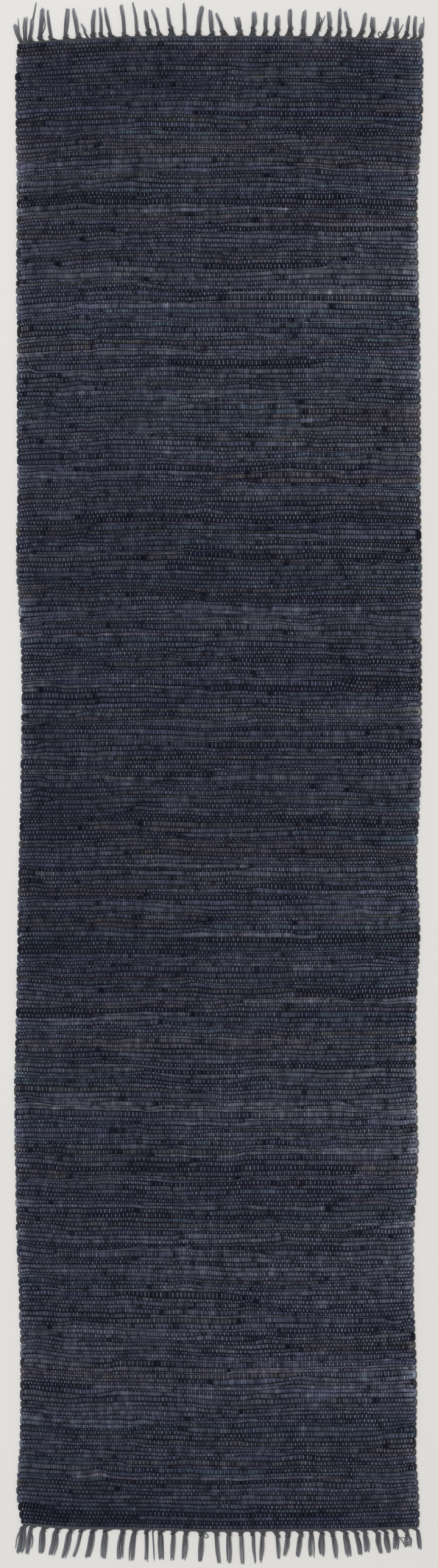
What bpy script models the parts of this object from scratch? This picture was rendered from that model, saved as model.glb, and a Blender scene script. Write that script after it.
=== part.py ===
"""A handwoven rag rug that lies flat: one woven field with a knotted warp fringe along each end.

Metres, +Z up.  The length of the rug runs along Y, and the rug lies on the plane z = 0.
The origin is the middle of the rug's box, on the floor.
"""

from collections import namedtuple

import bmesh
import bpy
import numpy as np

MM = 0.001

# Driving dimensions, in metres.
FIELD_THICKNESS = 0.005
FRINGE_THICKNESS = 0.004
HEADER_DEPTH = 0.0055  # the band of twisted warp between the last weft and the tassels
HEADER_GAP = 0.0003  # between the field and each fringe
RIM_ROUND = 0.0012  # the slope along every upper rim

# How finely the wavy edges are followed.
SIDE_STEP = 0.04
END_STEP = 0.02

# A tassel's shape along its length, as distances past the header in metres.
KNOT_AT = 0.0045
NECK_AT = 0.0095
NECK_NARROWING = 0.75  # the neck's width, as a share of the tassel's width
ROOT_FLARE = 1.2  # the root's width, as a share of the neck's width

# Where the two selvedges run, in millimetres.
# along: from the middle of the rug towards its upper end; left and right: across from the middle line.
SelvedgeRow = namedtuple("SelvedgeRow", "along left right")
SELVEDGES = [
    SelvedgeRow(-1250, -333, 336),
    SelvedgeRow(-1215, -339, 336),
    SelvedgeRow(-1125, -335, 331),
    SelvedgeRow(-1000, -333, 332),
    SelvedgeRow(-875, -335, 327),
    SelvedgeRow(-750, -340, 327),
    SelvedgeRow(-625, -342, 334),
    SelvedgeRow(-500, -343, 331),
    SelvedgeRow(-375, -340, 331),
    SelvedgeRow(-250, -338, 337),
    SelvedgeRow(-125, -336, 332),
    SelvedgeRow(0, -333, 338),
    SelvedgeRow(125, -331, 340),
    SelvedgeRow(250, -333, 339),
    SelvedgeRow(375, -340, 340),
    SelvedgeRow(500, -338, 338),
    SelvedgeRow(625, -339, 338),
    SelvedgeRow(750, -339, 337),
    SelvedgeRow(875, -340, 334),
    SelvedgeRow(1000, -339, 333),
    SelvedgeRow(1125, -341, 341),
    SelvedgeRow(1215, -341, 342),
    SelvedgeRow(1250, -339, 341),
]

# How far the two headers reach from the middle of the rug, in millimetres.
HeaderRow = namedtuple("HeaderRow", "across top bottom")
HEADERS = [
    HeaderRow(-340, 1242.0, 1243.0),
    HeaderRow(-250, 1248.5, 1250.0),
    HeaderRow(-165, 1252.5, 1251.0),
    HeaderRow(-80, 1254.0, 1253.0),
    HeaderRow(5, 1254.0, 1255.0),
    HeaderRow(90, 1253.5, 1254.0),
    HeaderRow(175, 1253.0, 1253.5),
    HeaderRow(260, 1250.5, 1252.0),
    HeaderRow(345, 1247.5, 1249.0),
]

# The tassels from left to right, in millimetres.
# root and tip: across from the middle line; reach: past the header; width: at the tip;
# knot: the width of its overhand knot, or None where the strands hang untied.
Tassel = namedtuple("Tassel", "root tip reach width knot")
TOP_TASSELS = [
    Tassel(-333, -340, 35, 9, None),
    Tassel(-325, -325, 44, 4, None),
    Tassel(-316, -306, 67, 6, 9),
    Tassel(-301, -296, 55, 8, 9),
    Tassel(-281, -287, 51, 6, 9),
    Tassel(-258, -254, 51, 8, 9),
    Tassel(-236, -244, 50, 6, 10),
    Tassel(-222, -230, 24, 3, None),
    Tassel(-212, -209, 46, 7, 10),
    Tassel(-197, -200, 49, 5, 9),
    Tassel(-181, -191, 49, 5, 9),
    Tassel(-158, -164, 53, 7, 9),
    Tassel(-137, -144, 56, 4, 8),
    Tassel(-118, -123, 43, 8, 10),
    Tassel(-99, -113, 44, 4, 8),
    Tassel(-80, -86, 46, 6, 9),
    Tassel(-57, -59, 54, 5, 9),
    Tassel(-36, -29, 50, 9, 10),
    Tassel(-12, -15, 43, 8, 9),
    Tassel(9, -4, 37, 6, 10),
    Tassel(35, 30, 31, 11, 10),
    Tassel(57, 59, 40, 8, 9),
    Tassel(77, 79, 39, 7, 9),
    Tassel(97, 99, 35, 9, 9),
    Tassel(119, 119, 44, 8, 9),
    Tassel(141, 144, 43, 8, 10),
    Tassel(164, 166, 40, 7, 10),
    Tassel(185, 184, 41, 7, 9),
    Tassel(201, 203, 48, 6, 8),
    Tassel(219, 212, 42, 7, 10),
    Tassel(238, 245, 41, 7, 9),
    Tassel(257, 258, 35, 9, 9),
    Tassel(277, 287, 35, 6, 9),
    Tassel(297, 298, 35, 7, 9),
    Tassel(314, 318, 39, 6, 9),
    Tassel(327, 329, 38, 6, 8),
    Tassel(338, 341, 26, 8, None),
]
BOTTOM_TASSELS = [
    Tassel(-328, -334, 47, 14, None),
    Tassel(-315, -321, 48, 7, None),
    Tassel(-295, -298, 44, 11, 10),
    Tassel(-272, -281, 46, 12, 11),
    Tassel(-249, -260, 49, 11, 9),
    Tassel(-230, -243, 47, 6, 8),
    Tassel(-211, -220, 47, 11, 9),
    Tassel(-190, -194, 48, 11, 9),
    Tassel(-162, -166, 50, 11, 10),
    Tassel(-142, -147, 52, 10, 10),
    Tassel(-121, -122, 52, 7, 9),
    Tassel(-111, -109, 52, 3, None),
    Tassel(-98, -97, 49, 11, 10),
    Tassel(-76, -78, 49, 7, 9),
    Tassel(-56, -59, 49, 8, 9),
    Tassel(-29, -31, 50, 8, 10),
    Tassel(-5, 0, 52, 7, 10),
    Tassel(16, 17, 52, 8, 9),
    Tassel(37, 39, 54, 7, 9),
    Tassel(57, 61, 53, 5, 9),
    Tassel(73, 70, 52, 6, 9),
    Tassel(97, 100, 46, 6, 10),
    Tassel(117, 110, 41, 8, 10),
    Tassel(137, 132, 43, 8, 10),
    Tassel(155, 155, 44, 10, 8),
    Tassel(172, 173, 42, 10, 9),
    Tassel(191, 196, 46, 8, 10),
    Tassel(211, 217, 43, 11, 9),
    Tassel(229, 237, 41, 8, 9),
    Tassel(244, 248, 36, 9, 8),
    Tassel(265, 271, 39, 10, 9),
    Tassel(279, 284, 39, 9, 8),
    Tassel(297, 296, 33, 11, 9),
    Tassel(316, 317, 30, 12, 9),
    Tassel(333, 337, 35, 7, None),
]

NAVY_RAG = (0.033, 0.035, 0.051)
GREY_WARP = (0.130, 0.127, 0.133)
CLOTH_ROUGHNESS = 0.9


def clear_scene():
    for old in list(bpy.data.objects):
        bpy.data.objects.remove(old, do_unlink=True)


def curve_through(places, values, at):
    """Values on a smooth curve through a table's rows, at the places asked for."""
    slopes = np.gradient(values, places)
    row = np.clip(np.searchsorted(places, at) - 1, 0, len(places) - 2)
    span = places[row + 1] - places[row]
    t = (at - places[row]) / span
    from_value = values[row] * (1 + 2 * t) * (1 - t) ** 2
    to_value = values[row + 1] * (3 - 2 * t) * t**2
    from_slope = slopes[row] * span * t * (1 - t) ** 2
    to_slope = slopes[row + 1] * span * (t - 1) * t**2
    return from_value + to_value + from_slope + to_slope


def column(rows, name):
    return np.array([getattr(row, name) for row in rows]) * MM


def selvedge(side, along):
    return curve_through(column(SELVEDGES, "along"), column(SELVEDGES, side), along)


def header_reach(end, across):
    return curve_through(column(HEADERS, "across"), column(HEADERS, end), across)


def evenly(start, stop, step):
    return np.linspace(start, stop, int(round(abs(stop - start) / step)) + 1)


def corner(end, side):
    """How far across the rug its corner lies at one end."""
    rows = SELVEDGES[-1] if end == "top" else SELVEDGES[0]
    return getattr(rows, side) * MM


def end_line(end, inset):
    """Points along one end from left to right, that far inside the header's outer edge."""
    sign = 1 if end == "top" else -1
    across = evenly(corner(end, "left"), corner(end, "right"), END_STEP)
    return list(zip(across, sign * (header_reach(end, across) - inset)))


def side_line(side, low, high):
    """Points up one selvedge, between the heights of two corners and without them."""
    along = evenly(low, high, SIDE_STEP)[1:-1]
    return list(zip(selvedge(side, along), along))


def field_outline():
    inset = HEADER_DEPTH + HEADER_GAP
    bottom = end_line("bottom", inset)
    top = end_line("top", inset)
    right = side_line("right", bottom[-1][1], top[-1][1])
    left = side_line("left", bottom[0][1], top[0][1])
    return bottom + right + top[::-1] + left[::-1]


def tassel_outline(tassel, sign, end):
    """One tooth of the comb: up its left side and down its right side."""
    root, tip, reach, width = (value * MM for value in tassel[:4])
    edge = float(header_reach(end, np.array(root)))
    neck = NECK_NARROWING * width
    knot = neck if tassel.knot is None else tassel.knot * MM
    stations = [(0.0, ROOT_FLARE * neck), (KNOT_AT, knot), (NECK_AT, neck), (reach, width)]
    left = []
    right = []
    for past_header, wide in stations:
        middle = root + (tip - root) * past_header / reach
        height = sign * (edge + past_header)
        left.append((middle - wide / 2, height))
        right.append((middle + wide / 2, height))
    return left + right[::-1]


def fringe_outline(end, tassels):
    """A comb: its back lies along the field, and each tassel is a tooth."""
    sign = 1 if end == "top" else -1
    back = end_line(end, HEADER_DEPTH)
    teeth = []
    for tassel in tassels:
        teeth += tassel_outline(tassel, sign, end)
    return back + teeth[::-1]


def middle_of(outlines):
    points = np.array([point for outline in outlines for point in outline])
    return (points.min(axis=0) + points.max(axis=0)) / 2


def cloth_material(name, colour):
    material = bpy.data.materials.new(name)
    material.use_nodes = True
    shader = material.node_tree.nodes["Principled BSDF"]
    shader.inputs["Base Color"].default_value = (*colour, 1)
    shader.inputs["Roughness"].default_value = CLOTH_ROUGHNESS
    shader.inputs["Metallic"].default_value = 0
    return material


def flat_cloth(name, outline, thickness, material):
    """A closed solid on the floor with this outline, its upper rim sloped."""
    shape = bmesh.new()
    base = shape.faces.new([shape.verts.new((x, y, 0)) for x, y in outline])
    bmesh.ops.recalc_face_normals(shape, faces=[base])
    if base.normal.z > 0:
        base.normal_flip()
    raised = bmesh.ops.extrude_face_region(shape, geom=[base], use_keep_orig=True)
    top = next(item for item in raised["geom"] if isinstance(item, bmesh.types.BMFace))
    bmesh.ops.translate(shape, vec=(0, 0, thickness - RIM_ROUND), verts=top.verts)
    top.normal_update()
    if top.normal.z < 0:
        top.normal_flip()
    bmesh.ops.inset_individual(shape, faces=[top], thickness=RIM_ROUND, depth=RIM_ROUND)
    bmesh.ops.recalc_face_normals(shape, faces=shape.faces)
    mesh = bpy.data.meshes.new(name)
    shape.to_mesh(mesh)
    shape.free()
    mesh.materials.append(material)
    piece = bpy.data.objects.new(name, mesh)
    bpy.context.scene.collection.objects.link(piece)
    return piece


def build_rug():
    clear_scene()
    field = field_outline()
    top = fringe_outline("top", TOP_TASSELS)
    bottom = fringe_outline("bottom", BOTTOM_TASSELS)
    navy = cloth_material("navy_rag", NAVY_RAG)
    grey = cloth_material("grey_warp", GREY_WARP)
    middle = middle_of([field, top, bottom])
    pieces = [
        flat_cloth("woven_field", field, FIELD_THICKNESS, navy),
        flat_cloth("fringe_top", top, FRINGE_THICKNESS, grey),
        flat_cloth("fringe_bottom", bottom, FRINGE_THICKNESS, grey),
    ]
    for piece in pieces:
        piece.location = (-middle[0], -middle[1], 0)


build_rug()
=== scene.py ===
"""Looks of the navy rag rug: rag wefts, grey warp, knotted fringes, floor, light and camera.

Lengths are in millimetres until a mesh is made. x runs across the rug, y along it and z up.
Warp ends run along the rug. Each pick is one pass of the rag weft from edge to edge and makes one row.
"""

import math
from collections import namedtuple

import bpy
import numpy as np
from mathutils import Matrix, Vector


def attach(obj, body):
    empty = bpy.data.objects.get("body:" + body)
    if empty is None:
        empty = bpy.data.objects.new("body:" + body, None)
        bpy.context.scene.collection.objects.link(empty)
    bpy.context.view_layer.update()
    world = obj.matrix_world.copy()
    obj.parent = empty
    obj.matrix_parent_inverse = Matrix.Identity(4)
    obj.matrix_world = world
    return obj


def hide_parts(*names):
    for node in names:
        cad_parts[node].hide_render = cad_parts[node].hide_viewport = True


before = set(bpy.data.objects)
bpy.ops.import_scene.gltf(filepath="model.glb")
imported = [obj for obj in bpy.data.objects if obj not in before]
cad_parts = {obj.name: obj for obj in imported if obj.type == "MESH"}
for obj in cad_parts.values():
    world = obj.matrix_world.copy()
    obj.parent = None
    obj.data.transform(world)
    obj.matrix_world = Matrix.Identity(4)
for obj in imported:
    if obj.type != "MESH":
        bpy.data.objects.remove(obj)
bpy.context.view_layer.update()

MM = 0.001
UP = np.array([0.0, 0.0, 1.0])

# The photograph and the camera.
IMAGE_HIGH = 2576
MM_PER_PIXEL = 1.0208
FRAME_MIDDLE = (0.0, -2.0)
LENS = 135.0
SENSOR = 36.0

# The stage, in metres.
FLOOR_HALF = 70.0
KEY_PLACE = (-7.0, 3.6, 12.0)
VIEW_END = 200.0

# The weave.
PICKS = 370
ENDS = 204
BANDS = 5  # pieces of the field along its length
EDGE_DEPTH = 20.0  # outline points this near to the outermost one are on the same edge
DRAWN_IN = ((0.19, 76.0), (0.2, 9.0))  # how much closer the warp stands at a selvedge, and how far in
SPACING_STEPS = 2000  # in which the warp's spacing is added up
MID_HEIGHT = 2.5
FREE_CREST = 2.35  # half a weft's thickness where it is free
PRESSED_CREST = 0.95  # and where a warp end presses on it
FULLNESS = (0.55, 1.05, 0.6)  # a thin row is less thick too: the limits and the power
VALLEY_FILL = 0.45  # how high the rags fill the valleys
PRESS_IN = 0.3  # how far neighbouring wefts overlap
BULGE = 0.75  # and how much more where they are free
KEEP_DRIFT = 0.5  # the share of a row's drift that the next one takes over
THINNEST_ROW = 1.9
THICKEST_ROW = 1.3  # as a share of the usual one
ROW_KERNEL = np.array([1, 2, 3, 4, 3, 2, 1]) / 16  # evens a row out along itself
END_FADE = 10  # rows over which the drift dies out
SIDES_SWAPPED = [2, 1, 0, 3]  # the order of a weft's four points where it runs to the left

# The turns of the weft at the selvedges.
TURN_REACH = 6.6  # past the outermost warp end
TURN_UNEVEN = (-0.8, 0.48)
TURN_TINT = (1.42, 1.37, 1.24)  # paler and greyer there, where it is worn
TURN_ANGLES = (12.0, 38.0, 68.0, 112.0, 142.0, 168.0)  # of its points, in degrees
TURN_STEPS = len(TURN_ANGLES)
TURN_SQUARE = 0.4  # 1 is a half circle, and less a squarer bend
TURN_PIVOT = 0.6  # its middle, past the warp end
# Its outer side, crest, inner side and keel: how far out and along, and how high.
TURN_POINTS = ((1.0, 1.0, 0.0), (0.55, 0.5, 1.9), (0.1, 0.03, 0.0), (0.55, 0.5, -2.0))
WEFT_END = 5.0  # a loose end of the weft sticks out this far

# Unevenness: its spread, and over how many rows and warp ends it stays alike.
ROW_GRAINS = ((0.17, 0.5, 15), (0.05, 0.5, 2.2))
BOW_GRAIN = (0.45, 26, 34)
WANDER_GRAIN = (0.42, 3, 0.7)
SEAM_SHADE_GRAIN = (0.38, 0.5, 7)
SIDE_GRAIN = (0.3, 0.5, 3.0)
FLOAT_GRAIN = (0.12, 0.6, 0.6)
CREST_GRAIN = (0.1, 0.5, 2)
RAG_GRAINS = ((0.3, 0.5, 0.5), (0.08, 1.6, 8), (0.07, 9, 14))
WARP_GRAINS = ((0.24, 0.5, 0.6), (0.15, 0.6, 7))
# Patches: their strength, from which unevenness to which they come up, and its grain.
PALE_FACES = (0.2, 1.0, 1.6, (1, 0.5, 4.5))
DARK_FACES = (0.3, 0.9, 1.6, (1, 0.5, 4.0))
WARM_PLACES = (0.07, 0.5, 2.0, (1, 0.6, 5))

# The rag strips that are laid as weft. Their spreads are of logarithms.
RAG_LENGTH = 360.0
LENGTH_SPREAD = 0.65
RAG_LIMITS = (90.0, 2000.0)
WIDTH_SPREAD = 0.19
KNOT_SHARE = 0.7  # of the joins between two strips, and the others overlap
KNOT_STRENGTH = (0.25, 1.0)
KNOT_REACH = (2.2, 6.5)  # half its length
KNOT_HEIGHT = 0.6  # above the crests
KNOT_WIDER = 0.3
KNOT_DARKER = (0.6, 1.5)  # a share, and a power that keeps it to the middle: partly the knot's own dark rag, partly painted shade
TAIL_SHARE = 0.6  # of the strips start with a thin dark tail
TAIL_LENGTHS = (20.0, 85.0)
TAIL_POWER = 0.7  # below 1 it stays thin and dark for longer
TAIL_THINNER = 0.28
TAIL_DARKER = 0.7
TAPER = 16.0  # a strip thins over this length at an overlap
TAPER_THINNER = 0.45
FOLDS = 1500  # dark places along each side of the weft, where it is folded in
CRUMPLES = 900  # and right across it
FOLD_REACH = (2.0, 7.0)  # half its length
FOLD_DEPTH = (0.5, 1.0)
FOLD_SHADE = 0.95  # how much less light a folded side gets
CREST_SHADE = 0.75  # and the crest beside it
SLITS = 1900
SLIT_MARGIN = 3  # rows without one at the rug's ends
SLIT_ENDS = (1.0, 15.0)  # half its length, in warp ends: most are short
SLIT_WIDTH = (0.5, 1.0)  # as a share of the widest
SLIT_DEPTH = 1.3
SLIT_SHADE = 0.25  # how much darker the row below it is
SEAM_SHADE = 0.24  # how dark the painted shade in the valley between two rows usually is
SEAM_SHADE_LIMITS = (0.05, 0.97)
# The painted shade between the rows at the weft's turns and in the heading.
TURN_SEAM_SHADE = 0.5
HEADING_SEAM_SHADE = 0.3

# The warp where it lies over a weft.
FLOAT_WIDTH = 2.0
FLOAT_RISE = 1.15  # above the pressed weft
FLOAT_FILL = 0.94  # of the row's depth
FLOAT_ROOT = 0.1  # its edge lies this far above the middle
# A float's points: how far up and to the side, and how high, from its edge (0) to its crest (1).
FLOAT_SHAPE = (
    (1.0, 0.0, 0.0), (0.5, -0.95, 0.58), (0.5, 0.95, 0.58), (0.0, 0.0, 1.0),
    (-0.5, -0.95, 0.58), (-0.5, 0.95, 0.58), (-1.0, 0.0, 0.0),
)
FLOAT_FACES = np.array([[3, 0, 1], [3, 1, 4], [3, 4, 6], [3, 6, 5], [3, 5, 2], [3, 2, 0]])
UNDER_FLOAT_SHADE = 0.87  # painted shade: how light a rag is under it, where the warp end presses it down


def paint(red, green, blue):
    """A colour from 0 to 255 as linear light."""
    part = np.array([red, green, blue]) / 255
    return np.where(part <= 0.04045, part / 12.92, ((part + 0.055) / 1.055) ** 2.4)


# The kinds of rag: a colour, its share of the strips, and their width beside the usual one.
RAGS = [
    (paint(63, 66, 81), 0.26, 1.0),  # slate navy
    (paint(56, 57, 75), 0.25, 1.0),  # navy
    (paint(63, 62, 77), 0.1, 0.95),  # purple navy
    (paint(53, 62, 76), 0.12, 1.0),  # teal navy
    (paint(56, 55, 63), 0.12, 1.05),  # warm charcoal
    (paint(74, 75, 89), 0.04, 1.0),  # pale slate
    (paint(36, 36, 50), 0.06, 1.0),  # near black
    (paint(81, 81, 94), 0.05, 0.5),  # thin pale strip
]
RAG_TONES = (0.02, 0.14)  # the middle and spread of their logarithm
RAG_TINTS = 0.015  # the spread of a strip's colour
DEEP_COLOUR = paint(18, 20, 43)  # where hardly any light gets in
WARMER = np.array([1.0, 0.4, -1.6])  # what a warm place adds to red, green and blue
BLUER = np.array([-0.03, 0.0, 0.03])  # and the rug's bottom, beside its top
# How light the rug is from its top (0) to its bottom (1), and from its left to its right.
TONE_ALONG = (
    (0.0, 1.05), (0.01, 0.86), (0.03, 0.84), (0.07, 0.98), (0.18, 1.1), (0.36, 0.95), (0.5, 0.88),
    (0.62, 0.94), (0.75, 1.02), (0.85, 1.13), (0.93, 1.02), (1.0, 0.8),
)
TONE_ACROSS = (0.77, 1.06)
EDGE_PALER = (0.75, 9.0)  # how much paler the selvedges are, and how far in
WARP_COLOUR = paint(86, 89, 101)
WARP_SPREAD = 0.07
WARP_LIMITS = (0.3, 1.9)
BRIGHT_FLOATS = (0.006, 1.5)  # this share of them is this much paler
WARP_SHOWS = 0.8  # of the warp's colour in a float
RAG_SHOWS = 0.6  # and of the rag's
HIDDEN = (1.1, 0.5)  # how much a knot and a fold hide a float
LEAST_SHOWN = 0.05
WARP_BELOW = 0.6  # how light the warp is underneath
HEADING_COLOUR = {1: paint(86, 87, 93), -1: paint(82, 85, 93)}
FRINGE_COLOUR = paint(92, 94, 99)

# The tassels from left to right, nearly where the part has them. root and tip: across from the photograph's
# zero; reach: past the header; width: at the tip; knot: its overhand knot's width, or 0 where the strands
# hang untied; stand: how far past the header the knot is.
Tassel = namedtuple("Tassel", "root tip reach width knot stand")
PHOTO_ZERO = -0.25  # where the tables' zero lies in the frame
TOP_TASSELS = [
    (-333, -341, 30, 9, 0, 0), (-325, -324, 42, 8, 0, 0), (-318, -313, 38, 7, 9, 3),
    (-301, -296, 55, 8, 9, 6.5), (-281, -287, 51, 6, 9, 3.5), (-258, -254, 51, 8, 9, 4.5),
    (-236, -244, 50, 6, 10, 4), (-222, -230, 24, 3, 0, 0), (-212, -209, 46, 7, 10, 5.5),
    (-197, -200, 49, 5, 9, 4), (-181, -191, 49, 5, 9, 3.5), (-158, -164, 53, 7, 9, 3.5),
    (-137, -144, 56, 4, 8, 4), (-118, -123, 43, 8, 10, 7.5), (-99, -113, 44, 4, 8, 4),
    (-80, -86, 46, 6, 9, 12), (-57, -59, 54, 5, 9, 5), (-36, -29, 50, 9, 10, 5.5),
    (-12, -15, 43, 8, 9, 4), (9, -4, 37, 6, 10, 7), (35, 30, 31, 11, 10, 6),
    (57, 59, 40, 8, 9, 11), (77, 79, 39, 7, 9, 7.5), (97, 99, 35, 9, 9, 10),
    (119, 119, 44, 8, 9, 13), (141, 144, 43, 8, 10, 6), (164, 166, 40, 7, 10, 12),
    (185, 184, 41, 7, 9, 12), (201, 203, 48, 6, 8, 8), (219, 212, 42, 7, 10, 10),
    (238, 245, 41, 7, 9, 9), (257, 258, 35, 9, 9, 10), (277, 287, 35, 6, 9, 7),
    (297, 298, 35, 7, 9, 5), (314, 318, 39, 6, 9, 9), (327, 329, 38, 6, 8, 5),
    (338, 341, 26, 9, 0, 0),
]
BOTTOM_TASSELS = [
    (-328, -334, 47, 14, 0, 0), (-315, -321, 48, 7, 0, 0), (-295, -298, 44, 11, 10, 4.5),
    (-272, -281, 46, 12, 11, 4), (-249, -260, 49, 11, 9, 4), (-230, -243, 47, 6, 8, 3.5),
    (-211, -220, 47, 11, 9, 4.5), (-190, -194, 48, 11, 9, 4), (-162, -166, 50, 11, 10, 4.5),
    (-142, -147, 52, 10, 10, 4), (-121, -122, 52, 7, 9, 4), (-111, -109, 52, 3, 0, 0),
    (-98, -97, 49, 11, 10, 4.5), (-76, -78, 49, 7, 9, 4), (-56, -59, 49, 8, 9, 4),
    (-29, -31, 50, 8, 10, 5), (-5, 0, 52, 7, 10, 4), (16, 17, 52, 8, 9, 3.5),
    (37, 39, 54, 7, 9, 4), (57, 61, 53, 5, 9, 4), (73, 70, 52, 6, 9, 4.5),
    (97, 100, 46, 6, 10, 8), (117, 110, 41, 8, 10, 8), (137, 132, 43, 8, 10, 6),
    (155, 155, 44, 10, 8, 3.5), (172, 173, 42, 10, 9, 4), (191, 196, 46, 8, 10, 6.5),
    (211, 217, 43, 11, 9, 4), (229, 237, 41, 8, 9, 4.5), (244, 248, 36, 9, 8, 4),
    (265, 271, 39, 10, 9, 6), (279, 284, 39, 9, 8, 4.5), (297, 296, 33, 11, 9, 7.5),
    (316, 317, 30, 12, 9, 9), (333, 337, 35, 7, 0, 0),
]
HEADER = 5.8  # the tassels start this far past the field's end in the frame
# At the top (1) and the bottom (-1): how far the rag wefts reach past the field's end, and the loose strands,
# as points across from the photograph's zero and past the header.
WEFT_ON = {1: 2.7, -1: 1.8}
STRAYS = {
    1: [
        [(166, 8), (170, 15), (174, 25), (178, 35)],
        [(163, 9), (169, 18), (172, 28), (169, 33)],
        [(296, 4), (294, 14), (292, 28)],
        [(-299, 7), (-294.5, 16), (-291.5, 26), (-293, 40), (-294.5, 49)],
        [(277, 2), (273, 1.5), (268.5, 3), (267, 7), (269, 10.5), (272, 9), (273.5, 5), (274, 1)],
        [(278, 4), (281, 8), (279.5, 12)],
        [(336, 4), (343, 22), (343, 38)],
        [(-333, 1), (-335, 20), (-336.7, 41)],
        [(-331, 2), (-337, 14), (-343, 27)],
        [(-317, 10), (-313.5, 32), (-310, 48), (-306.5, 66)],
        [(-316, 10), (-312.5, 30), (-309.5, 46), (-306, 64)],
        [(297, 5), (301, 9), (305, 17), (309, 25)],
    ],
    -1: [
        [(300, 12), (306, 18), (312, 28), (317, 26), (312, 16), (304, 14)],
        [(-22, 3), (-18, 8), (-22, 11), (-25, 7), (-21, 4)],
        [(-318, 3), (-312, 20), (-314, 38)],
        [(-330, 3), (-338, 20), (-341, 40)],
    ],
}
# How thick a strand is and how light it is painted, from its root (0) over the knot (0.5) to its worn tip
# (1): painted shade darkens it near the rug and painted light pales it towards the tip.
STRAND_RADII = ((0.0, 1.35), (0.3, 1.35), (0.45, 1.05), (0.95, 1.05), (1.0, 0.6))
STRAND_TONES = {
    1: ((0.0, 0.65), (0.48, 0.65), (0.62, 1.1), (0.78, 1.5), (0.9, 2.0), (1.0, 2.7)),
    -1: ((0.0, 0.75), (0.48, 0.85), (0.64, 1.2), (0.8, 1.55), (0.92, 1.95), (1.0, 2.5)),
}
STRAND_SIZES = (0.85, 1.1)
STRAND_SPREAD = 0.15  # of the tone's logarithm
STRAND_ROOT = 1.0  # inside the field
STRAND_HEIGHTS = (1.8, 1.9, 2.1)  # at the root, in the heading and before the knot
GATHERED = (0.25, 0.52)  # in the last two, the share of the way to the tassel's root
BEFORE_KNOT = 0.2  # and where the last one is between the header and the knot
LAYERS = (1.2, 1.25)  # the height of the lower of two layers, and the step up to the other
LAYERS_IN_KNOT = (1.2, 0.8)
STRAND_MIDDLE = (0.55, 0.6)  # how far it is to the middle, across and along
TASSEL_LESS = 3.4  # the strands' middles take up this much less than the tassel's width
TASSEL_LEAST = 0.8
REACH_UNEVEN = (0.09, 1.5)  # how much shorter a strand is, and a power that keeps most of them long
# The most of: a tassel's bend, where it parts, the share of the gap at its tip, a strand's bend and tip.
BENT, PARTED_AT, GAP_LEFT, STRAND_BENT, TIP_BENT = 1.2, 0.35, 0.8, 0.5, 0.7
STRAY_RADII = ((0.9, 0.75), (1.0, 0.45))  # of a loose strand
STRAY_HEIGHTS = (1.6, 0.75)
OUTWARD = 1.022  # the tassels' roots spread this much wider than their warp ends
LONE = 3.0  # an untied tassel of this width is a single strand
LONE_AWAY = 8.0  # it seems this much further away from the warp ends than it is
DOUBLED = 9.0  # an untied tassel this wide is of double warp ends
DOUBLE_APART = 0.7  # each this far from their middle
UNTIED_STAND = 4.0  # where an untied tassel is narrowest
PARTING = {1: 1.4, -1: 2.4}  # how wide a tassel's strands part at the most
KNOT_SIZE = {1: 0.97, -1: 0.72}
KNOT_ASIDE = {1: 0.4, -1: 1.5}  # how far to the side of its tassel a knot lies
NECK_SHARE = {1: 0.55, -1: 0.65}  # a tassel's width past its knot, beside its tip's
NECK_PAST = 6.0
KNOT_SQUEEZE = 0.36  # the strands' spread in a knot, beside its width
UNTIED_SQUEEZE = 0.55  # and without one, beside the tassel's
# The turns of a knot: how far along and aside its middle lies, its tilt, half depth and yarn radius.
KNOT_TURNS = ((0.5, 0.0, 2.0, 0.9, 2.2), (-2.1, -0.3, 0.8, 0.6, 1.8))
KNOT_WIDTH = 9.0  # of a knot with these turns
KNOT_SIZES = (0.92, 1.06)
KNOT_TILTS = (0.7, 1.3)
KNOT_MIDDLE = 3.6
KNOT_TONE = -0.28  # as a logarithm
STRAND_STEPS, STRAY_STEPS, LOOP_STEPS = 14, 30, 16
STRAND_SIDES, LOOP_SIDES, FRAY_SIDES = 5, 8, 3
FRAY_STRANDS = 3
FRAY_RADII = (0.3, 0.22, 0.08)
FRAY_LENGTHS = (1.0, 3.0)
FRAY_TURN = 0.6  # in radians
FRAY_BACK = 0.8  # a fibre starts this far before the tip
FRAY_BEND = (0.55, 0.3)  # where it bends, and how far it bends back

# The fine wefts between the field and the tassels, over the roots of the strands.
HEADING_PICKS = 3
HEADING_OVERLAP = 0.3
HEADING_TAPER = (0.7, 1.5)  # how much thinner its ends are, and over how many warp ends
HEADING_BEND = 0.25  # how far it goes up and down
HEADING_SIDE = 2.6  # the height of its sides
HEADING_CREST = 1.1  # above them
HEADING_KEEL = (0.7, 1.3)  # below them, at a weft's end and further in

# The bake map.
WEFT_MARGIN = 0.06  # on both sides of a lane
HEADING_MARGIN = 0.1
ROW_TO = 0.98  # where a row ends in its lane, before the turn
HEADING_TO = 0.99
TUBE_MARGINS = (0.06, 0.02)  # beside a tube and at its ends
CAP_SIZE = 0.002
# The tubes' lanes: how many lie side by side, and where they begin and end.
STRAND_LANES = (70, 0.0, 0.6)
LOOP_LANES = (40, 0.6, 0.85)
FRAY_LANES = (120, 0.85, 0.95)
STRAY_LANES = (40, 0.95, 1.0)


# Small tools.


def smooth_step(low, high, value):
    t = np.clip((value - low) / (high - low), 0, 1)
    return t * t * (3 - 2 * t)


def hump(distance, reach):
    return np.exp(-((distance / reach) ** 2))


def read_off(table, share):
    return np.interp(share, *zip(*table))


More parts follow.
